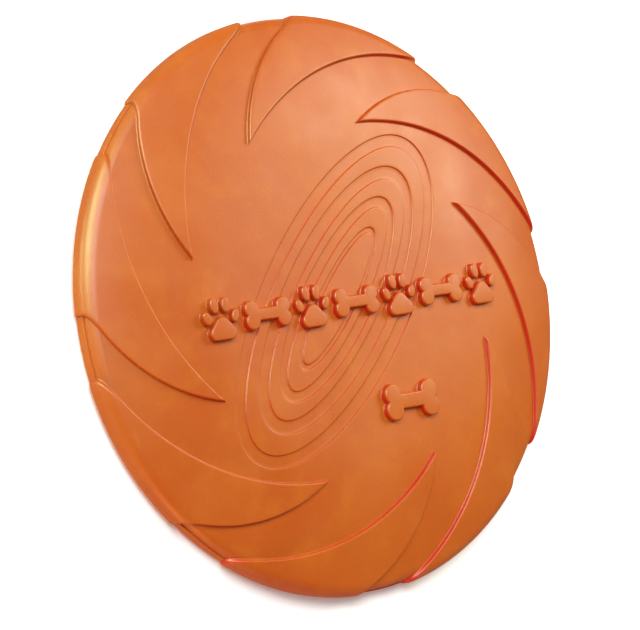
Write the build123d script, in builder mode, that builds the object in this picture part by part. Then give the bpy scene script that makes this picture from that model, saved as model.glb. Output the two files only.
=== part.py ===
"""Closed-top rubber flying disc: a thin domed crown, a rolled rim and raised turbine vanes.

Frame: +Z is the spin axis with the crown upwards, the origin is on the floor under the
crown's centre.  Units are millimetres.  The disc is one rubber moulding.  Each feature of
the moulding is a solid of its own, and neighbouring solids meet face to face.
"""

import os
from math import asin, cos, degrees, radians, sin, tan

from build123d import *

# Overall size
DISC_DIAMETER = 180.0
CROWN_HEIGHT = 16.0

# Wall of the moulding
SKIN = 2.6
VANE_RELIEF = 1.4
BAND_RELIEF = 0.55
EMBLEM_RELIEF = 2.2
CHANNEL_DEPTH = 0.4

# Outer profile of the crown and rim, from the axis outwards
CENTRE_FLAT_RADIUS = 45.0
CENTRE_CURVE = 1600.0
HAUNCH_CURVE = 148.0
SHOULDER_CURVE = 3.5
WALL_TAPER = 1.0

# Rim band with the foot that the disc lies on
BAND_TOP = 4.5
BAND_INNER_SWELL = 1.4
FOOT_OUTER_ROUND = 2.0
FOOT_INNER_ROUND = 1.3
LEDGE_CHAMFER = 0.25

# Turbine vanes: each one lies between two arcs that meet at its tip
VANE_COUNT = 8
VANE_BOTTOM = 1.7
VANE_HEM = 0.4
VANE_CONVEX_CENTRE = (44.7, 16.6)
VANE_CONVEX_RADIUS = 52.6
VANE_CONCAVE_CENTRE = (22.8, -21.3)
VANE_CONCAVE_RADIUS = 78.0
VANE_TIP_ROUND = 0.6
FIRST_VANE_TURN = 90.0

# Shallow oval channels in the crown, from the outermost inwards: half-length and half-width
# of the outer edge, then of the inner edge
OVAL_HEADING = 56.5
OVAL_CENTRE = (-2.2, 0.2)
OVALS = [
    ((60.7, 26.1), (56.6, 22.0)),
    ((49.2, 18.9), (44.7, 14.7)),
    ((38.1, 12.4), (34.5, 9.0)),
    ((26.8, 6.6), (24.8, 5.2)),
]

# Raised emblems: a row of paw prints and bones through the centre, and a bone below it
ROW_HEADING = 8.8
ROW_CENTRE = (3.4, -0.7)
ROW_LENGTH = 115.7
PAW_SIZE = 13.4
BONE_LENGTH = 17.0
BONE_WIDTH = 9.0
LONE_BONE_LENGTH = 21.0
LONE_BONE_WIDTH = 11.4
LONE_BONE_CENTRE = (23.3, -30.3)

# Derived values
disc_radius = DISC_DIAMETER / 2
base_radius = disc_radius - VANE_RELIEF
centre_turn = degrees(asin(CENTRE_FLAT_RADIUS / CENTRE_CURVE))
haunch_slope = asin(
    (base_radius - SHOULDER_CURVE - (CENTRE_CURVE - HAUNCH_CURVE) * sin(radians(centre_turn)))
    / (HAUNCH_CURVE - SHOULDER_CURVE)
)
haunch_turn = degrees(haunch_slope) - centre_turn
shoulder_turn = 90.0 - degrees(haunch_slope) + WALL_TAPER
wall_length = CROWN_HEIGHT
above_disc = 2 * CROWN_HEIGHT
vane_pitch = 360.0 / VANE_COUNT


def crown_line(lift):
    """The crown's profile from the axis to the shoulder, raised by lift above the skin."""
    centre = JernArc(
        start=(0, CROWN_HEIGHT + lift), tangent=(1, 0), radius=CENTRE_CURVE + lift, arc_size=-centre_turn
    )
    haunch = JernArc(start=centre @ 1, tangent=centre % 1, radius=HAUNCH_CURVE + lift, arc_size=-haunch_turn)
    return haunch


def rim_line(start, direction, lift):
    """The shoulder and the tapering side wall that carry on from the crown's profile."""
    shoulder = JernArc(start=start, tangent=direction, radius=SHOULDER_CURVE + lift, arc_size=-shoulder_turn)
    wall = Line(shoulder @ 1, shoulder @ 1 + (shoulder % 1) * wall_length)
    return wall


def full_line(lift):
    """The whole profile from the axis to below the floor."""
    haunch = crown_line(lift)
    return rim_line(haunch @ 1, haunch % 1, lift)


def crown_shell(low, high, bottom=0, hem=0):
    """A solid shell over the whole disc between two raised profiles, with a level bottom edge.

    The hem is the size of the chamfer on the outside of the bottom edge.
    """
    with BuildPart() as shell:
        with BuildSketch(Plane.XZ) as section:
            with BuildLine():
                low_wall = full_line(low)
                high_wall = full_line(high)
                Line((0, CROWN_HEIGHT + low), (0, CROWN_HEIGHT + high))
                Line(low_wall @ 1, high_wall @ 1)
            make_face()
            with Locations((0, bottom)):
                Rectangle(DISC_DIAMETER, above_disc, align=(Align.MIN, Align.MAX), mode=Mode.SUBTRACT)
            if hem:
                chamfer(section.vertices().group_by(Axis.Y)[0].sort_by(Axis.X)[-1], hem)
        revolve(axis=Axis.Z)
    return shell.part


def save(part, name):
    part.label = name
    export_step(part, f"parts/{name}.step")
    print(f"{name}: {part.volume / 1000:.2f} cm3, {len(part.solids())} solid(s)")


os.makedirs("parts", exist_ok=True)

# ---------------------------------------------------------------- crown's skin
# From the axis to where the shoulder starts, cut square to the skin.
with BuildPart() as plain_crown:
    with BuildSketch(Plane.XZ):
        with BuildLine():
            top = crown_line(0)
            under = crown_line(-SKIN)
            Line((0, CROWN_HEIGHT), (0, CROWN_HEIGHT - SKIN))
            Line(top @ 1, under @ 1)
        make_face()
    revolve(axis=Axis.Z)

# ---------------------------------------------------------------- rim wall
# The shoulder and the side wall, down to the top of the rim band.
with BuildPart() as rim_wall:
    with BuildSketch(Plane.XZ):
        with BuildLine(mode=Mode.PRIVATE):
            top_edge = crown_line(0)
            under_edge = crown_line(-SKIN)
        with BuildLine():
            outer_wall = rim_line(top_edge @ 1, top_edge % 1, 0)
            inner_wall = rim_line(under_edge @ 1, under_edge % 1, -SKIN)
            Line(top_edge @ 1, under_edge @ 1)
            Line(outer_wall @ 1, inner_wall @ 1)
        make_face()
    revolve(axis=Axis.Z)
    split(bisect_by=Plane.XY.offset(BAND_TOP))
save(rim_wall.part, "rim_wall")


# ---------------------------------------------------------------- rim band
# The thick band under the wall.  Its foot is rounded on both sides of a flat land.
with BuildLine(mode=Mode.PRIVATE):
    bare_wall = full_line(0)
wall_start = bare_wall @ 0


def wall_radius(height, lift):
    """Radius of the side wall, raised by lift, at a height above the floor."""
    return wall_start.X + (height - wall_start.Y) * tan(radians(WALL_TAPER)) + lift / cos(radians(WALL_TAPER))


band_outer_top = (wall_radius(BAND_TOP, BAND_RELIEF), BAND_TOP)
band_outer_foot = (wall_radius(0, BAND_RELIEF), 0)
band_inner_top = (wall_radius(BAND_TOP, -SKIN), BAND_TOP)
band_inner_foot = (wall_radius(0, -SKIN - BAND_INNER_SWELL), 0)

with BuildPart() as rim_band:
    with BuildSketch(Plane.XZ) as band_section:
        with BuildLine():
            Polyline(band_outer_top, band_outer_foot, band_inner_foot, band_inner_top, close=True)
        make_face()
        foot_corners = band_section.vertices().group_by(Axis.Y)[0]
        fillet(foot_corners.sort_by(Axis.X)[-1], FOOT_OUTER_ROUND)
        inner_corner = band_section.vertices().group_by(Axis.Y)[0].sort_by(Axis.X)[0]
        fillet(inner_corner, FOOT_INNER_ROUND)
        top_corners = band_section.vertices().group_by(Axis.Y)[-1]
        chamfer(top_corners.sort_by(Axis.X)[-1], LEDGE_CHAMFER)
    revolve(axis=Axis.Z)
save(rim_band.part, "rim_band")

# ---------------------------------------------------------------- turbine vanes
# One crescent of even thickness lies on the crown, turns over the shoulder and runs down
# the wall and the band.  The others are turned copies.
vane_skin = crown_shell(0, VANE_RELIEF, VANE_BOTTOM, VANE_HEM)
with BuildPart() as vane_blank:
    add(vane_skin)
    with BuildSketch(Plane.XY) as crescent:
        with Locations(VANE_CONVEX_CENTRE):
            Circle(VANE_CONVEX_RADIUS)
        with Locations(VANE_CONCAVE_CENTRE):
            Circle(VANE_CONCAVE_RADIUS, mode=Mode.SUBTRACT)
        tip = crescent.vertices().sort_by(Axis.X)[0]
        fillet(tip, VANE_TIP_ROUND)
    extrude(amount=above_disc, mode=Mode.INTERSECT)
    add(rim_band.part, mode=Mode.SUBTRACT)

for number in range(VANE_COUNT):
    turned = vane_blank.part.rotate(Axis.Z, FIRST_VANE_TURN - number * vane_pitch)
    save(turned, f"vane_{number + 1}")


# ---------------------------------------------------------------- flight plate
# Four shallow oval channels run round the crown, one inside the other.
with BuildPart() as channels:
    add(crown_shell(-CHANNEL_DEPTH, EMBLEM_RELIEF))
    with BuildSketch(Plane.XY):
        with Locations(Location(OVAL_CENTRE + (0,), OVAL_HEADING)):
            for outer_edge, inner_edge in OVALS:
                Ellipse(*outer_edge)
                Ellipse(*inner_edge, mode=Mode.SUBTRACT)
    extrude(amount=above_disc, mode=Mode.INTERSECT)

with BuildPart() as flight_plate:
    add(plain_crown.part)
    add(channels.part, mode=Mode.SUBTRACT)
save(flight_plate.part, "flight_plate")


# ---------------------------------------------------------------- emblems
def paw_outline(size):
    """A palm pad with four toe pads, inside a square of the given size."""
    with Locations((-0.19 * size, -0.30 * size), (0.19 * size, -0.30 * size)):
        Circle(0.16 * size)
    with Locations((0, -0.12 * size)):
        Circle(0.19 * size)
    make_hull()
    for side in (-1, 1):
        with Locations(Location((side * 0.375 * size, 0.06 * size, 0), side * -18)):
            Ellipse(0.105 * size, 0.16 * size)
        with Locations(Location((side * 0.15 * size, 0.32 * size, 0), side * -6)):
            Ellipse(0.115 * size, 0.18 * size)


def bone_outline(length, width):
    """A shank with two round knobs at each end."""
    knob = 0.29 * width
    Rectangle(length - 2 * knob, 0.42 * width)
    with GridLocations(length - 2 * knob, width - 2 * knob, 2, 2):
        Circle(knob)


emblem_skin = crown_shell(-CHANNEL_DEPTH, EMBLEM_RELIEF)


def raise_emblem(outline, centre, heading):
    """Raises an outline off the crown's skin, and fills the channels that it crosses."""
    with BuildPart() as emblem:
        add(emblem_skin)
        with BuildSketch(Plane.XY.rotated((0, 0, heading)).move(Location(centre + (0,)))):
            outline()
        extrude(amount=above_disc, mode=Mode.INTERSECT)
        add(flight_plate.part, mode=Mode.SUBTRACT)
    return emblem.part


# The row takes turns, paw first, with even gaps between the motifs.
row_kinds = ["paw_print", "bone", "paw_print", "bone", "paw_print", "bone", "paw_print"]
row_widths = [PAW_SIZE if kind == "paw_print" else BONE_LENGTH for kind in row_kinds]
row_gap = (ROW_LENGTH - sum(row_widths)) / (len(row_widths) - 1)
counts = {"paw_print": 0, "bone": 0}
reach = -ROW_LENGTH / 2
for kind, width in zip(row_kinds, row_widths):
    along = reach + width / 2
    reach += width + row_gap
    spot = (
        ROW_CENTRE[0] + along * cos(radians(ROW_HEADING)),
        ROW_CENTRE[1] + along * sin(radians(ROW_HEADING)),
    )
    counts[kind] += 1
    if kind == "paw_print":
        motif = raise_emblem(lambda: paw_outline(PAW_SIZE), spot, ROW_HEADING)
    else:
        motif = raise_emblem(lambda: bone_outline(BONE_LENGTH, BONE_WIDTH), spot, ROW_HEADING)
    save(motif, f"{kind}_{counts[kind]}")

lone_bone = raise_emblem(
    lambda: bone_outline(LONE_BONE_LENGTH, LONE_BONE_WIDTH), LONE_BONE_CENTRE, ROW_HEADING
)
save(lone_bone, "lone_bone")
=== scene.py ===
"""Orange rubber flying disc on a pale floor.

Every piece is meshed here from the disc's own profile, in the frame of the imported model: +Z is
the spin axis, the floor is z = 0.  Sizes are in millimetres and become metres in place().
"""

from math import acos, asin, atan2, cos, pi, radians, sin, tan

import bmesh
import bpy
from mathutils import Matrix, Vector


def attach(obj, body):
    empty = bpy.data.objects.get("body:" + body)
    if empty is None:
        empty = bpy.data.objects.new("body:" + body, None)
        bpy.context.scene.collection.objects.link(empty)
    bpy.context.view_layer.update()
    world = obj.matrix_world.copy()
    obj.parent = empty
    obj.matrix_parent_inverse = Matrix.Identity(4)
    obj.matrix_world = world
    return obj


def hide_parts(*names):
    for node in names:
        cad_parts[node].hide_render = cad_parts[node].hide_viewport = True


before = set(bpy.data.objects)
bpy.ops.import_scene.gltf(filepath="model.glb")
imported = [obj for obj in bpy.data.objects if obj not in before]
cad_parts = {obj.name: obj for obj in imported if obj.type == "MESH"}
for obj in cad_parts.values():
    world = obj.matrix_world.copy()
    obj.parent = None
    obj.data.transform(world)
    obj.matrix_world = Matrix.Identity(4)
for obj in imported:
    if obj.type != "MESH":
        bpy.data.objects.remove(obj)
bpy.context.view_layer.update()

MM = 0.001

# ------------------------------------------------------------------ sizes, as in the CAD model
DISC_RADIUS = 90.0
CROWN_HEIGHT = 16.0
SKIN = 2.6
VANE_RELIEF = 1.4
BAND_RELIEF = 0.55
EMBLEM_RELIEF = 2.2
CHANNEL_DEPTH = 0.4

CENTRE_FLAT_RADIUS = 45.0
CENTRE_CURVE = 1600.0
HAUNCH_CURVE = 148.0
SHOULDER_CURVE = 3.5
WALL_TAPER = radians(1.0)

BAND_TOP = 4.5
BAND_INNER_SWELL = 1.4
FOOT_OUTER_ROUND = 2.0
FOOT_INNER_ROUND = 1.3

VANE_COUNT = 8
VANE_BOTTOM = 1.7
VANE_CONVEX = (Vector((44.7, 16.6)), 52.6)
VANE_CONCAVE = (Vector((22.8, -21.3)), 78.0)
FIRST_VANE_TURN = radians(90.0)

OVAL_HEADING = radians(56.5)
OVAL_CENTRE = Vector((-2.2, 0.2))
OVALS = [
    ((60.7, 26.1), (56.6, 22.0)),
    ((49.2, 18.9), (44.7, 14.7)),
    ((38.1, 12.4), (34.5, 9.0)),
    ((26.8, 6.6), (24.8, 5.2)),
]

ROW_HEADING = radians(8.8)
ROW_CENTRE = Vector((3.4, -0.7))
ROW_LENGTH = 115.7
PAW_SIZE = 13.4
BONE_LENGTH = 17.0
BONE_WIDTH = 9.0
LONE_BONE_LENGTH = 21.0
LONE_BONE_WIDTH = 11.4
LONE_BONE_CENTRE = Vector((23.3, -30.3))

LEDGE_CHAMFER = 0.25

# How far the vanes and the emblems reach below the crown's skin
SUNK = -0.25
EMBLEM_ROOT = -0.7

# Points round the wall and the band, and the angle from which an edge stays sharp
TURNS = 360
SHARP_ANGLE = radians(50)

# The deep red on the relief's walls is painted shade.  It is painted on the disc, set for one
# fixed light, and doesn't follow the lamps.  Walls that face the shaded side below show the most
# painted shade, and it weakens towards the edge on the -X, +Y side.
SHADED_SIDE = Vector((-0.9, -0.44, 0.0))
SHADE_LEVEL = 0.45
SHADE_CONTRAST = 1.3
LEAST_SHADE = 0.08
FADE_START = -52.0
FADE_WIDTH = 20.0
LEAST_FADE = 0.3
FADE_LEAN = 0.6

# ------------------------------------------------------------------ the disc's profile
base_radius = DISC_RADIUS - VANE_RELIEF
centre_slope = asin(CENTRE_FLAT_RADIUS / CENTRE_CURVE)
haunch_axis = (CENTRE_CURVE - HAUNCH_CURVE) * sin(centre_slope)
haunch_slope = asin((base_radius - SHOULDER_CURVE - haunch_axis) / (HAUNCH_CURVE - SHOULDER_CURVE))
wall_slope = pi / 2 + WALL_TAPER

centre_end = CENTRE_CURVE * centre_slope
crown_end = centre_end + HAUNCH_CURVE * (haunch_slope - centre_slope)
shoulder_end = crown_end + SHOULDER_CURVE * (wall_slope - haunch_slope)


def arc_centres():
    """Centres (r, z) of the three arcs of the profile."""
    first = Vector((0, CROWN_HEIGHT - CENTRE_CURVE))
    second = first + (CENTRE_CURVE - HAUNCH_CURVE) * Vector((sin(centre_slope), cos(centre_slope)))
    outward = Vector((sin(haunch_slope), cos(haunch_slope)))
    third = second + (HAUNCH_CURVE - SHOULDER_CURVE) * outward
    return first, second, third


CENTRES = arc_centres()


def profile(along, lift=0.0):
    """Point (r, z) of the outer profile, at a length along it from the axis, raised by lift."""
    if along <= centre_end:
        slope, centre, curve, extra = along / CENTRE_CURVE, CENTRES[0], CENTRE_CURVE, 0.0
    elif along <= crown_end:
        slope = centre_slope + (along - centre_end) / HAUNCH_CURVE
        centre, curve, extra = CENTRES[1], HAUNCH_CURVE, 0.0
    else:
        slope = min(haunch_slope + (along - crown_end) / SHOULDER_CURVE, wall_slope)
        centre, curve, extra = CENTRES[2], SHOULDER_CURVE, max(0.0, along - shoulder_end)
    normal = Vector((sin(slope), cos(slope)))
    down = Vector((cos(slope), -sin(slope)))
    return centre + (curve + lift) * normal + extra * down


def along_for_radius(radius):
    """Length along the profile at which the crown or the shoulder has that radius."""
    if radius <= CENTRE_FLAT_RADIUS:
        return CENTRE_CURVE * asin(radius / CENTRE_CURVE)
    slope = asin(min(1.0, (radius - CENTRES[1].x) / HAUNCH_CURVE))
    if slope <= haunch_slope:
        return centre_end + HAUNCH_CURVE * (slope - centre_slope)
    slope = asin(min(1.0, (radius - CENTRES[2].x) / SHOULDER_CURVE))
    return crown_end + SHOULDER_CURVE * (slope - haunch_slope)


def along_for_height(height):
    """Length along the profile at which the straight wall is at that height."""
    return shoulder_end + (profile(shoulder_end).y - height) / cos(WALL_TAPER)


def place(along, turn, lift=0.0):
    """Point in metres on the disc's skin, raised by lift."""
    radius, height = profile(along, lift)
    return Vector((radius * cos(turn), radius * sin(turn), height)) * MM


def on_crown(spot, lift):
    """Point in metres above a spot (x, y) of the crown."""
    return place(along_for_radius(spot.length), atan2(spot.y, spot.x), lift)


# ------------------------------------------------------------------ mesh helpers
def clamp(value, low=0.0, high=1.0):
    return max(low, min(high, value))


def painted_shade_share(vertex):
    """How much of the deep red painted shade shows at a point.  Fixed to the disc, whatever the
    view.
    """
    facing = clamp(SHADE_LEVEL + SHADE_CONTRAST * vertex.normal.dot(SHADED_SIDE), LEAST_SHADE)
    across = (vertex.co.x - FADE_LEAN * vertex.co.y) / MM
    return facing * clamp((across - FADE_START) / FADE_WIDTH, LEAST_FADE)


def build(name, points, faces, node, material, painted_shade_values=None):
    """A smooth piece that rides on the disc and stands for one CAD node.

    The last argument is each point's share of the deep red painted shade, before it is scaled per
    point.
    """
    mesh = bpy.data.meshes.new(name)
    mesh.from_pydata([tuple(p) for p in points], [], faces)
    mesh.validate()
    shape = bmesh.new()
    shape.from_mesh(mesh)
    bmesh.ops.recalc_face_normals(shape, faces=shape.faces)
    shape.to_mesh(mesh)
    shape.free()
    mesh.shade_smooth()
    mesh.set_sharp_from_angle(angle=SHARP_ANGLE)
    # Store each point's share of the deep red painted shade on the walls.
    if painted_shade_values:
        layer = mesh.attributes.new("painted_wall_shade", "FLOAT", "POINT")
        painted_shades = [value * painted_shade_share(v) for value, v in zip(painted_shade_values, mesh.vertices)]
        layer.data.foreach_set("value", painted_shades)
    piece = bpy.data.objects.new(name, mesh)
    bpy.context.scene.collection.objects.link(piece)
    mesh.materials.append(material)
    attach(piece, "root")
    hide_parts(node)
    return piece


def ring_faces(first, second, count, flip=False):
    """Quads between two closed rings of points, given by their first indices."""
    faces = []
    for i in range(count):
        j = (i + 1) % count
        quad = (first + i, first + j, second + j, second + i)
        faces.append(quad[::-1] if flip else quad)
    return faces


def revolved(name, section, node, material):
    """A closed section of (r, z) points, turned about the axis."""
    points, faces = [], []
    for radius, height in section:
        for i in range(TURNS):
            turn = 2 * pi * i / TURNS
            points.append(Vector((radius * cos(turn), radius * sin(turn), height)) * MM)
    for index in range(len(section)):
        start = index * TURNS
        after = (index + 1) % len(section) * TURNS
        for i in range(TURNS):
            j = (i + 1) % TURNS
            faces.append((start + i, after + i, after + j, start + j))
    return build(name, points, faces, node, material)


def spread(low, high, count):
    """Evenly spaced values from low to high, both included."""
    return [low + (high - low) * i / (count - 1) for i in range(count)]


def arc(centre, radius, first, last, count):
    """Points of an arc between two angles."""
    angles = spread(first, last, count)
    return [(centre[0] + radius * cos(a), centre[1] + radius * sin(a)) for a in angles]


# ------------------------------------------------------------------ materials
ORANGE = (0.51, 0.113, 0.004)
SPECK_COLOUR = (0.9, 0.55, 0.3, 1)
PAINTED_SHADE_RED = (0.54, 0.016, 0.002, 1)


def rubber(name, tint):
    """Satin rubber: mottled colour, deep red painted shade on walls, fine grain, specks, soft
    gloss.
    """
    material = bpy.data.materials.new(name)
    material.use_nodes = True
    nodes, links = material.node_tree.nodes, material.node_tree.links
    nodes.clear()
    output = nodes.new("ShaderNodeOutputMaterial")
    shader = nodes.new("ShaderNodeBsdfPrincipled")
    links.new(shader.outputs["BSDF"], output.inputs["Surface"])
    coords = nodes.new("ShaderNodeTexCoord")

    def noise(scale, detail, roughness=0.55):
        texture = nodes.new("ShaderNodeTexNoise")
        texture.inputs["Scale"].default_value = scale
        texture.inputs["Detail"].default_value = detail
        texture.inputs["Roughness"].default_value = roughness
        links.new(coords.outputs["Object"], texture.inputs["Vector"])
        return texture.outputs["Fac"]

    def remap(value, low, high, to_low, to_high):
        node = nodes.new("ShaderNodeMapRange")
        limits = {"From Min": low, "From Max": high, "To Min": to_low, "To Max": to_high}
        for socket, number in limits.items():
            node.inputs[socket].default_value = number
        links.new(value, node.inputs["Value"])
        return node.outputs["Result"]

    def mix(factor, first, second, mode="MIX"):
        node = nodes.new("ShaderNodeMix")
        node.data_type = "RGBA"
        node.blend_type = mode
        sockets = node.inputs[0], node.inputs[6], node.inputs[7]
        for socket, value in zip(sockets, (factor, first, second)):
            if hasattr(value, "links"):
                links.new(value, socket)
            else:
                socket.default_value = value
        return node.outputs[2]

    plain = (*tint, 1)
    deep = (tint[0] * 0.93, tint[1] * 0.78, tint[2] * 0.6, 1)
    pale = (min(1, tint[0] * 1.05), tint[1] * 1.18, tint[2] * 1.5, 1)
    clouds = remap(noise(26, 3), 0.35, 0.68, 0, 1)
    colour = mix(clouds, deep, plain)
    patches = remap(noise(110, 4), 0.5, 0.72, 0, 0.55)
    colour = mix(patches, colour, pale)
    specks = remap(noise(1900, 2, 0.4), 0.69, 0.76, 0, 0.10)
    colour = mix(specks, colour, SPECK_COLOUR)
    # Painted shade: each point's stored share of painted shade mixes the colour to deep red.
    painted_shade_node = nodes.new("ShaderNodeAttribute")
    painted_shade_node.attribute_name = "painted_wall_shade"
    colour = mix(painted_shade_node.outputs["Fac"], colour, PAINTED_SHADE_RED)
    links.new(colour, shader.inputs["Base Color"])

    gloss = remap(noise(60, 5), 0.3, 0.7, 0.35, 0.46)
    links.new(gloss, shader.inputs["Roughness"])
    shader.inputs["Specular IOR Level"].default_value = 0.5
    shader.inputs["Subsurface Weight"].default_value = 0.30
    shader.inputs["Subsurface Radius"].default_value = (1.0, 0.25, 0.08)
    shader.inputs["Subsurface Scale"].default_value = 0.0018

    grain = nodes.new("ShaderNodeBump")
    grain.inputs["Strength"].default_value = 0.12
    grain.inputs["Distance"].default_value = 0.0003
    links.new(noise(1500, 4), grain.inputs["Height"])
    swell = nodes.new("ShaderNodeBump")
    swell.inputs["Strength"].default_value = 0.25
    swell.inputs["Distance"].default_value = 0.0008
    links.new(noise(45, 2), swell.inputs["Height"])
    links.new(grain.outputs["Normal"], swell.inputs["Normal"])
    links.new(swell.outputs["Normal"], shader.inputs["Normal"])
    return material


crown_rubber = rubber("crown_rubber", ORANGE)
rim_rubber = rubber("rim_rubber", ORANGE)
vane_rubber = rubber("vane_rubber", ORANGE)
emblem_rubber = rubber("emblem_rubber", ORANGE)

# ------------------------------------------------------------------ wall and band
wall_end = along_for_height(BAND_TOP)
wall_steps = spread(crown_end, shoulder_end, 14) + [wall_end]
outer_wall = [tuple(profile(s)) for s in wall_steps]
inner_drop = (profile(wall_end, -SKIN).y - BAND_TOP) / cos(WALL_TAPER)
inner_steps = [wall_end + inner_drop] + wall_steps[-2::-1]
inner_wall = [tuple(profile(s, -SKIN)) for s in inner_steps]
revolved("shoulder_and_wall", outer_wall + inner_wall, "rim_wall", rim_rubber)


def wall_radius(height, lift):
    """Radius of the straight wall at a height, raised by lift."""
    radius, level = profile(shoulder_end)
    return radius + (height - level) * tan(WALL_TAPER) + lift / cos(WALL_TAPER)


def band_section():
    """The band's closed section: ledge, outer side, rounded foot, inner side."""
    ledge = LEDGE_CHAMFER
    outer, inner = BAND_RELIEF, -SKIN - BAND_INNER_SWELL
    out_r, in_r = FOOT_OUTER_ROUND, FOOT_INNER_ROUND
    out_centre = (wall_radius(out_r, outer) - out_r / cos(WALL_TAPER), out_r)
    in_base = wall_radius(0, inner)
    in_top = wall_radius(BAND_TOP, -SKIN)
    lean = atan2(in_top - in_base, BAND_TOP)
    in_centre = (in_base + in_r * (1 / cos(lean) + tan(lean)), in_r)
    side = [(wall_radius(z, outer), z) for z in spread(BAND_TOP - ledge, out_r + 0.3, 5)]
    top = arc((wall_radius(BAND_TOP, outer) - ledge, BAND_TOP - ledge), ledge, pi / 2, 0.1, 5)
    foot_out = arc(out_centre, out_r, -WALL_TAPER, -pi / 2, 9)
    foot_in = arc(in_centre, in_r, -pi / 2, -pi - lean, 8)
    return [(in_top, BAND_TOP)] + top + side + foot_out + foot_in


revolved("foot_band", band_section(), "rim_band", rim_rubber)


# ------------------------------------------------------------------ turbine vanes
def smooth_rise(value, steps):
    """Value read off a list of (place, value) steps, joined by straight runs."""
    if value <= steps[0][0]:
        return steps[0][1]
    for (d0, h0), (d1, h1) in zip(steps, steps[1:]):
        if value <= d1:
            return h0 + (h1 - h0) * (value - d0) / (d1 - d0)
    return steps[-1][1]


# A vane's wall as (distance in from the edge, lift), and its painted shade as (distance, share)
WALL_STEPS = [
    (-0.42, -0.06), (-0.30, -0.01), (-0.18, 0.04), (-0.09, 0.13), (-0.03, 0.28), (0.0, 0.45),
    (0.05, 0.80), (0.10, 1.05), (0.18, 1.22), (0.30, 1.33), (0.48, 1.385), (0.75, VANE_RELIEF),
]
EDGE_OFFSETS = [step[0] for step in WALL_STEPS]
EDGE_REACH = 0.92
TOP_POINTS = 26
UNDER_POINTS = 14
CONCAVE_SHADE = [(-0.34, 0.0), (-0.14, 0.8), (-0.03, 1.0), (0.10, 1.0), (0.24, 0.4), (0.40, 0.0)]
CONVEX_SHADE = [(-0.30, 0.0), (-0.12, 0.7), (-0.03, 1.0), (0.05, 0.8), (0.16, 0.0)]


def side_distances(spot):
    """How far a spot lies inside the concave and the convex edge of the first-made vane."""
    concave = (spot - VANE_CONCAVE[0]).length - VANE_CONCAVE[1]
    convex = VANE_CONVEX[1] - (spot - VANE_CONVEX[0]).length
    return concave, convex


def circle_at_radius(circle, radius, upper):
    """Turn at which a circle in plan crosses a given radius of the disc."""
    centre, size = circle
    reach = centre.length
    spread_angle = acos((radius * radius + reach * reach - size * size) / (2 * radius * reach))
    return atan2(centre.y, centre.x) + (spread_angle if upper else -spread_angle)


def crossing(a, ra, b, rb):
    """Where two circles cross nearest the axis."""
    gap = (b - a).length
    unit = (b - a) / gap
    run = (ra * ra - rb * rb + gap * gap) / (2 * gap)
    rise = (ra * ra - run * run) ** 0.5
    side = Vector((-unit.y, unit.x))
    return min((a + unit * run + side * rise, a + unit * run - side * rise), key=lambda p: p.length)


def vane_row(along):
    """Turns and lifts across the first-made vane, at one length along the profile."""
    radius = profile(along).x
    skirt = EDGE_OFFSETS[0]
    (a, ra), (b, rb) = VANE_CONCAVE, VANE_CONVEX
    low = circle_at_radius((a, ra + skirt), radius, True)
    high = circle_at_radius((b, rb - skirt), radius, True)
    middle = (low + high) / 2
    turns = []
    for (centre, size, sign), start in (((a, ra, 1), low), ((b, rb, -1), high)):
        shares = []
        for offset in EDGE_OFFSETS:
            turn = circle_at_radius((centre, size + sign * offset), radius, True)
            shares.append((turn - start) / (middle - start))
        squeeze = min(1.0, EDGE_REACH / max(shares[-1], 1e-6))
        turns.append([start + (middle - start) * share * squeeze for share in shares])
    first, last = turns
    between = spread(first[-1], last[-1], TOP_POINTS)[1:-1]
    across = first + between + last[::-1]
    row = []
    for turn in across:
        spot = radius * Vector((cos(turn), sin(turn)))
        concave, convex = side_distances(spot)
        # Lift and painted shade both come from the nearer edge.
        rise, tint = min(
            (smooth_rise(concave, WALL_STEPS), smooth_rise(concave, CONCAVE_SHADE)),
            (smooth_rise(convex, WALL_STEPS), smooth_rise(convex, CONVEX_SHADE)),
        )
        row.append((turn, rise, tint))
    return row


# Rows of a vane: closer together near its tip, then over the crown, the shoulder and the wall
TIP_START = 0.03
TIP_SPAN = 5.0
TIP_ROWS = 22
TIP_GROWTH = 1.5
CROWN_ROWS = 52
SHOULDER_ROWS = 16
WALL_ROWS = 7
HEM_SPAN = 0.9
HEM_STEPS = [(0.0, 0.45), (0.05, 0.70), (0.18, 0.88), (0.40, 0.97), (0.75, 1.0)]


def vane_alongs():
    """Lengths along the profile of a vane's rows: from its tip, over the shoulder, to the hem."""
    skirt = EDGE_OFFSETS[0]
    centre_a, size_a = VANE_CONCAVE
    centre_b, size_b = VANE_CONVEX
    tip = crossing(centre_a, size_a + skirt, centre_b, size_b - skirt)
    start = along_for_radius(tip.length) + TIP_START
    near = [start + TIP_SPAN * (i / TIP_ROWS) ** TIP_GROWTH for i in range(TIP_ROWS)]
    crown = spread(start + TIP_SPAN, crown_end, CROWN_ROWS)
    shoulder = spread(crown_end, shoulder_end, SHOULDER_ROWS)[1:]
    bottom = along_for_height(VANE_BOTTOM)
    wall = spread(shoulder_end, bottom - HEM_SPAN, WALL_ROWS)[1:]
    hem = [bottom - step[0] for step in HEM_STEPS[::-1]]
    return near + crown + shoulder + wall + hem


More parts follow.
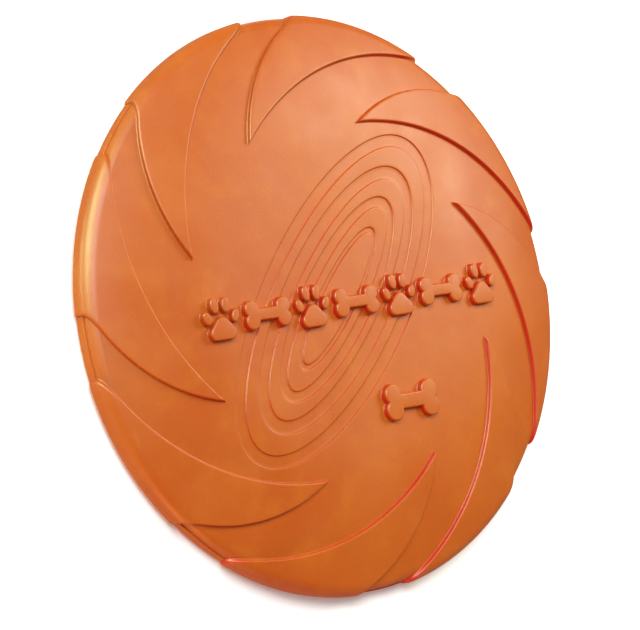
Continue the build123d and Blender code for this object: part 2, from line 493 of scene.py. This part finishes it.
def vane(number):
    """One raised vane: rows of closed loops from its tip down to its hem on the band."""
    alongs = vane_alongs()
    bottom = alongs[-1]
    swing = FIRST_VANE_TURN - 2 * pi * number / VANE_COUNT
    points, faces, painted_shades = [], [], []
    for along in alongs:
        row = vane_row(along)
        fade = smooth_rise(bottom - along, HEM_STEPS)
        for turn, lift, tint in row:
            points.append(place(along, turn + swing, lift * fade if lift > 0 else lift))
            painted_shades.append(tint)
        under = spread(row[-1][0], row[0][0], UNDER_POINTS)[1:-1]
        for turn in under:
            points.append(place(along, turn + swing, SUNK))
            painted_shades.append(0.0)
    count = len(row) + len(under)
    for i in range(len(alongs) - 1):
        faces += ring_faces(i * count, (i + 1) * count, count)
    faces.append(tuple(range(count))[::-1])
    faces.append(tuple((len(alongs) - 1) * count + i for i in range(count)))
    name = f"vane_{number + 1}"
    build(f"turbine_{name}", points, faces, name, vane_rubber, painted_shades)


for number in range(VANE_COUNT):
    vane(number)

# ------------------------------------------------------------------ crown with its oval channels
# A channel's side as (distance in from its edge, lift), and its painted shade as (distance, share)
CHANNEL_STEPS = [
    (-0.22, 0.0), (-0.10, -0.02), (-0.03, -0.07), (0.03, -0.20), (0.08, -0.32), (0.15, -0.375),
    (0.26, -CHANNEL_DEPTH),
]
CHANNEL_SHADE = [(-0.16, 0.0), (-0.05, 0.3), (0.03, 0.6), (0.12, 0.5), (0.26, 0.0)]
# Rings of the crown's mesh: points in each, rings outside the ovals, on a channel's floor,
# between two channels, round the middle, and on the inside
AROUND = 360
OUTER_RINGS = 46
OUTER_MARGIN = 1.0
FLOOR_SHARES = (0.35, 0.5, 0.65)
BETWEEN_SHARES = (0.12, 0.35, 0.6, 0.85)
MIDDLE_OVAL = (OVALS[-1][1][1] * 3.2, 1.0)
INSIDE_RINGS = 60


def turned(spot, heading, centre):
    """A spot turned by a heading about the origin and moved to a centre."""
    return Matrix.Rotation(heading, 2) @ spot + centre


def oval_spots(half_length, half_width):
    """Spots (x, y) round an oval that is turned and centred like the channels."""
    angles = [2 * pi * i / AROUND for i in range(AROUND)]
    shape = [Vector((half_length * cos(a), half_width * sin(a))) for a in angles]
    return [turned(spot, OVAL_HEADING, OVAL_CENTRE) for spot in shape]


def crown_rings():
    """The crown's outer skin as rings (spots, lift, painted shade), from its edge in to the middle.
    """
    rings = []
    edge_radius = profile(crown_end).x
    angles = [2 * pi * i / AROUND + OVAL_HEADING for i in range(AROUND)]
    edge = [edge_radius * Vector((cos(a), sin(a))) for a in angles]
    outermost = oval_spots(OVALS[0][0][0] + OUTER_MARGIN, OVALS[0][0][1] + OUTER_MARGIN)
    for share in spread(0, 1, OUTER_RINGS):
        rings.append(([p.lerp(q, share) for p, q in zip(edge, outermost)], 0.0, 0.0))
    for number, (outer, inner) in enumerate(OVALS):
        for step, lift in CHANNEL_STEPS:
            tint = smooth_rise(step, CHANNEL_SHADE)
            rings.append((oval_spots(outer[0] - step, outer[1] - step), lift, tint))
        width = outer[0] - inner[0]
        for share in FLOOR_SHARES:
            spots = oval_spots(outer[0] - width * share, outer[1] - width * share)
            rings.append((spots, -CHANNEL_DEPTH, 0.0))
        for step, lift in CHANNEL_STEPS[::-1]:
            tint = smooth_rise(step, CHANNEL_SHADE)
            rings.append((oval_spots(inner[0] + step, inner[1] + step), lift, tint))
        following = OVALS[number + 1][0] if number + 1 < len(OVALS) else MIDDLE_OVAL
        for share in BETWEEN_SHARES:
            half_length = inner[0] + (following[0] - inner[0]) * share
            half_width = inner[1] + (following[1] - inner[1]) * share
            rings.append((oval_spots(half_length, half_width), 0.0, 0.0))
    return rings


def crown():
    """The crown's skin: the channelled outside, and a plain inside."""
    points, faces, painted_shades = [], [], []
    rings = crown_rings()
    for spots, lift, tint in rings:
        points += [on_crown(spot, lift) for spot in spots]
        painted_shades += [tint] * AROUND
    for i in range(len(rings) - 1):
        faces += ring_faces(i * AROUND, (i + 1) * AROUND, AROUND)
    last = (len(rings) - 1) * AROUND
    points.append(on_crown(OVAL_CENTRE, 0.0))
    painted_shades.append(0.0)
    faces += [(last + i, last + (i + 1) % AROUND, len(points) - 1) for i in range(AROUND)]
    inside = len(points)
    inside_alongs = spread(crown_end, 0, INSIDE_RINGS)[:-1]
    for along in inside_alongs:
        for i in range(AROUND):
            points.append(place(along, 2 * pi * i / AROUND + OVAL_HEADING, -SKIN))
            painted_shades.append(0.0)
    faces += ring_faces(0, inside, AROUND, flip=True)
    for i in range(len(inside_alongs) - 1):
        faces += ring_faces(inside + i * AROUND, inside + (i + 1) * AROUND, AROUND, flip=True)
    last = inside + (len(inside_alongs) - 1) * AROUND
    points.append(place(0, 0, -SKIN))
    painted_shades.append(0.0)
    faces += [(last + (i + 1) % AROUND, last + i, len(points) - 1) for i in range(AROUND)]
    build("crown_skin", points, faces, "flight_plate", crown_rubber, painted_shades)


crown()

# ------------------------------------------------------------------ emblems
# An emblem's wall as (distance in from its outline, lift), and its painted shade as (lift, share)
EMBLEM_STEPS = [
    (-0.34, -0.06), (-0.18, 0.0), (-0.08, 0.10), (-0.01, 0.35), (0.03, 0.80), (0.07, 1.40),
    (0.12, 1.75), (0.20, 1.97), (0.32, 2.11), (0.46, 2.18), (0.60, EMBLEM_RELIEF),
]
EMBLEM_SHADE = [(-0.06, 0.0), (0.0, 0.5), (0.30, 1.0), (1.40, 0.9), (1.97, 0.2), (2.11, 0.0)]
TOE_POINTS = 40
PALM_POINTS = 72
KNOB_POINTS = 26

# A paw print's toes on one side, in shares of its size: x, y, half width, half length; and tilt
TOES = [
    (0.375, 0.06, 0.105, 0.16, -18),
    (0.15, 0.32, 0.115, 0.18, -6),
]
# A bone's knob radius and half its shank, in shares of its width
KNOB_SHARE = 0.29
SHANK_SHARE = 0.21


def toe_ring(inset, centre, across, along, tilt):
    """An oval toe pad's outline, drawn in by the inset."""
    ring = []
    for i in range(TOE_POINTS):
        angle = 2 * pi * i / TOE_POINTS
        spot = Vector(((across - inset) * cos(angle), (along - inset) * sin(angle)))
        ring.append(turned(spot, tilt, centre))
    return ring


def palm_ring(inset, size):
    """The palm pad's outline: the outer hull of three circles, drawn in by the inset."""
    circles = [
        (Vector((-0.19, -0.30)) * size, 0.16 * size),
        (Vector((0.19, -0.30)) * size, 0.16 * size),
        (Vector((0.0, -0.12)) * size, 0.19 * size),
    ]
    ring = []
    for i in range(PALM_POINTS):
        angle = 2 * pi * (i + 0.5) / PALM_POINTS
        unit = Vector((cos(angle), sin(angle)))
        centre, radius = max(circles, key=lambda c: c[0].dot(unit) + c[1])
        ring.append(centre + unit * (radius - inset))
    return ring


def bone_ring(inset, length, width):
    """The bone's outline drawn in by the inset, a quarter at a time."""
    knob = KNOB_SHARE * width
    half_shank = SHANK_SHARE * width
    centre = Vector((length / 2 - knob, half_shank))
    radius = knob - inset
    first = -asin(half_shank / radius)
    last = pi + asin(inset / radius)
    quarter = [centre + radius * Vector((cos(a), sin(a))) for a in spread(first, last, KNOB_POINTS)]
    shank_start = quarter[-1].x
    for share in (0.25, 0.5, 0.75, 1.0):
        quarter.append(Vector((shank_start * (1 - share), half_shank - inset)))
    left = [Vector((-p.x, p.y)) for p in quarter[-2::-1]]
    top = quarter + left
    return top + [Vector((p.x, -p.y)) for p in top[-2:0:-1]]


def raised(name, node, islands, heading, centre):
    """Raised islands on the crown.  Each island is a function from an inset to its outline."""
    points, faces, painted_shades = [], [], []
    for island in islands:
        start = len(points)
        rings = [(island(EMBLEM_STEPS[0][0]), EMBLEM_ROOT)]
        rings += [(island(inset), lift) for inset, lift in EMBLEM_STEPS]
        count = len(rings[0][0])
        for ring, lift in rings:
            points += [on_crown(turned(spot, heading, centre), lift) for spot in ring]
            painted_shades += [smooth_rise(lift, EMBLEM_SHADE)] * count
        for i in range(len(rings) - 1):
            faces += ring_faces(start + i * count, start + (i + 1) * count, count)
        faces.append(tuple(start + i for i in range(count))[::-1])
        top = start + (len(rings) - 1) * count
        faces.append(tuple(top + i for i in range(count)))
    build(name, points, faces, node, emblem_rubber, painted_shades)


def paw_islands(size):
    """The palm and the four toes of one paw print."""
    islands = [lambda inset: palm_ring(inset, size)]
    for side in (-1, 1):
        for x, y, half_width, half_length, tilt in TOES:
            spot = Vector((side * x * size, y * size))
            toe = (spot, half_width * size, half_length * size, radians(side * tilt))
            islands.append(lambda inset, toe=toe: toe_ring(inset, *toe))
    return islands


def bone_islands(length, width):
    """The one island of a bone."""
    return [lambda inset: bone_ring(inset, length, width)]


row_kinds = ["paw_print", "bone", "paw_print", "bone", "paw_print", "bone", "paw_print"]
row_widths = [PAW_SIZE if kind == "paw_print" else BONE_LENGTH for kind in row_kinds]
row_gap = (ROW_LENGTH - sum(row_widths)) / (len(row_widths) - 1)
counts = {"paw_print": 0, "bone": 0}
reach = -ROW_LENGTH / 2
for kind, width in zip(row_kinds, row_widths):
    along_row = reach + width / 2
    reach += width + row_gap
    spot = ROW_CENTRE + along_row * Vector((cos(ROW_HEADING), sin(ROW_HEADING)))
    counts[kind] += 1
    node = f"{kind}_{counts[kind]}"
    if kind == "paw_print":
        islands = paw_islands(PAW_SIZE)
    else:
        islands = bone_islands(BONE_LENGTH, BONE_WIDTH)
    raised(f"raised_{node}", node, islands, ROW_HEADING, spot)
lone_bone = bone_islands(LONE_BONE_LENGTH, LONE_BONE_WIDTH)
raised("raised_lone_bone", "lone_bone", lone_bone, ROW_HEADING, LONE_BONE_CENTRE)

# ------------------------------------------------------------------ camera, floor and light
FRAME_WIDTH_PX = 640
FRAME_HEIGHT_PX = 630
PIVOT = Vector((0, 0, 13.5)) * MM
VIEW_TURN = Vector((-0.1536, 0.6569, 0.0044))
VIEW_DISTANCE = 1.2244
FOCAL_PX = 4015.0
CENTRE_PX = (339.5, 300.0)

axes = Matrix.Rotation(VIEW_TURN.length, 3, VIEW_TURN.normalized())
right, up, back = axes.row[0], axes.row[1], axes.row[2]
camera_data = bpy.data.cameras.new("camera")
camera_data.sensor_width = 36.0
camera_data.lens = FOCAL_PX * camera_data.sensor_width / FRAME_WIDTH_PX
camera_data.shift_x = (FRAME_WIDTH_PX / 2 - CENTRE_PX[0]) / FRAME_WIDTH_PX
camera_data.shift_y = (CENTRE_PX[1] - FRAME_HEIGHT_PX / 2) / FRAME_WIDTH_PX
camera_data.clip_end = 20.0
camera = bpy.data.objects.new("camera", camera_data)
bpy.context.scene.collection.objects.link(camera)
pose = Matrix((right, up, back)).transposed().to_4x4()
pose.translation = PIVOT + back * VIEW_DISTANCE
camera.matrix_world = pose
bpy.context.scene.camera = camera


def seen_from(x, y, z):
    """A direction given as right, up and towards the camera, in the object's frame."""
    return (right * x + up * y + back * z).normalized()


def soft_light(name, direction, distance, size, strength, colour=(1, 1, 1)):
    """A square softbox that faces the disc.

    Its strength is what it shines on a surface that is turned to it, at any distance.
    """
    data = bpy.data.lights.new(name, "AREA")
    data.energy = strength * (pi * distance) ** 2
    data.color = colour
    data.shape = "SQUARE"
    data.size = size
    light = bpy.data.objects.new(name, data)
    bpy.context.scene.collection.objects.link(light)
    light.matrix_world = direction.to_track_quat("Z", "Y").to_matrix().to_4x4()
    light.location = PIVOT + direction * distance
    light.visible_camera = False
    return light


soft_light("front_softbox", seen_from(0.14, 0.48, 0.86), 1.7, 1.0, 1.13)
rim_gloss = soft_light(
    "rim_softbox", seen_from(-0.50, 0.52, 0.70), 1.5, 0.90, 2.30, (0.6, 1.0, 0.5))
rim_gloss.visible_diffuse = False
soft_light("right_softbox", seen_from(0.88, 0.45, 0.0), 0.8, 0.34, 0.60, (1.0, 1.0, 0.80))
soft_light("left_softbox", seen_from(-0.95, 0.25, 0.15), 1.8, 0.50, 0.44, (0.6, 1.0, 0.45))
soft_light("low_softbox", seen_from(-0.25, -0.90, 0.35), 1.8, 0.60, 0.40, (1.0, 0.35, 0.08))

FLOOR_REACH = 4
floor_mesh = bpy.data.meshes.new("floor")
corners = [(x * FLOOR_REACH, y * FLOOR_REACH, 0) for x, y in ((-1, -1), (1, -1), (1, 1), (-1, 1))]
floor_mesh.from_pydata(corners, [], [(0, 1, 2, 3)])
floor = bpy.data.objects.new("floor", floor_mesh)
bpy.context.scene.collection.objects.link(floor)
floor_material = bpy.data.materials.new("pale_floor")
floor_material.use_nodes = True
floor_shader = floor_material.node_tree.nodes["Principled BSDF"]
floor_shader.inputs["Base Color"].default_value = (0.97, 0.97, 0.97, 1)
floor_shader.inputs["Roughness"].default_value = 0.9
floor_shader.inputs["Emission Color"].default_value = (1, 1, 1, 1)
floor_shader.inputs["Emission Strength"].default_value = 0.15
floor_mesh.materials.append(floor_material)
floor.visible_shadow = False
floor.visible_glossy = False

world = bpy.data.worlds.new("studio")
bpy.context.scene.world = world
world.use_nodes = True
world.node_tree.nodes["Background"].inputs["Color"].default_value = (1, 1, 1, 1)
world.node_tree.nodes["Background"].inputs["Strength"].default_value = 0.18
bpy.context.scene.view_settings.view_transform = "Standard"
